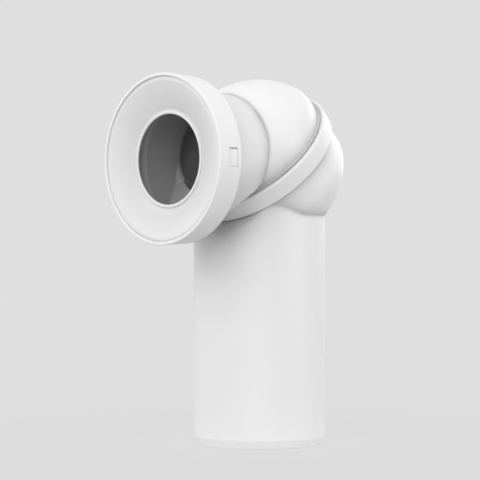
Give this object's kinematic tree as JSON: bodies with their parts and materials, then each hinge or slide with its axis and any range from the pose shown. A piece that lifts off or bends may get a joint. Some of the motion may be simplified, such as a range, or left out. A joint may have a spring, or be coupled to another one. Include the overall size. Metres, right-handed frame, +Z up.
{
  "type": "swivel pan connector bend",
  "caption": "White plastic drain bend with a turning slanted joint, a soft lip seal held by a clamp ring at the inlet and a plain chamfered spigot at the outlet.",
  "frame": {"origin": "centre of the outlet pipe's lower end", "axes": "+Z up along the outlet pipe, -Y out of the inlet mouth, +X to the right of someone who looks into the mouth"},
  "size_m": [0.138, 0.1823, 0.3031],
  "materials": {
    "outlet_bend": "satin white moulding",
    "swivel_collar": "satin white moulding",
    "swivel_seal": "black rubber",
    "inlet_bend": "satin white moulding",
    "lip_seal": "soft white rubber",
    "clamp_ring": "satin white moulding"
  },
  "bodies": {
    "outlet": {"outlet_bend": "outlet_bend", "swivel_collar": "swivel_collar"},
    "inlet": {"inlet_bend": "inlet_bend", "swivel_seal": "swivel_seal", "lip_seal": "lip_seal", "clamp_ring": "clamp_ring"}
  },
  "joints": [
    {"name": "swivel", "type": "hinge", "parent": "outlet", "child": "inlet", "pos_m": [0, 0, 0.2335], "axis": [0, -0.7071, 0.7071], "continuous": true}
  ]
}
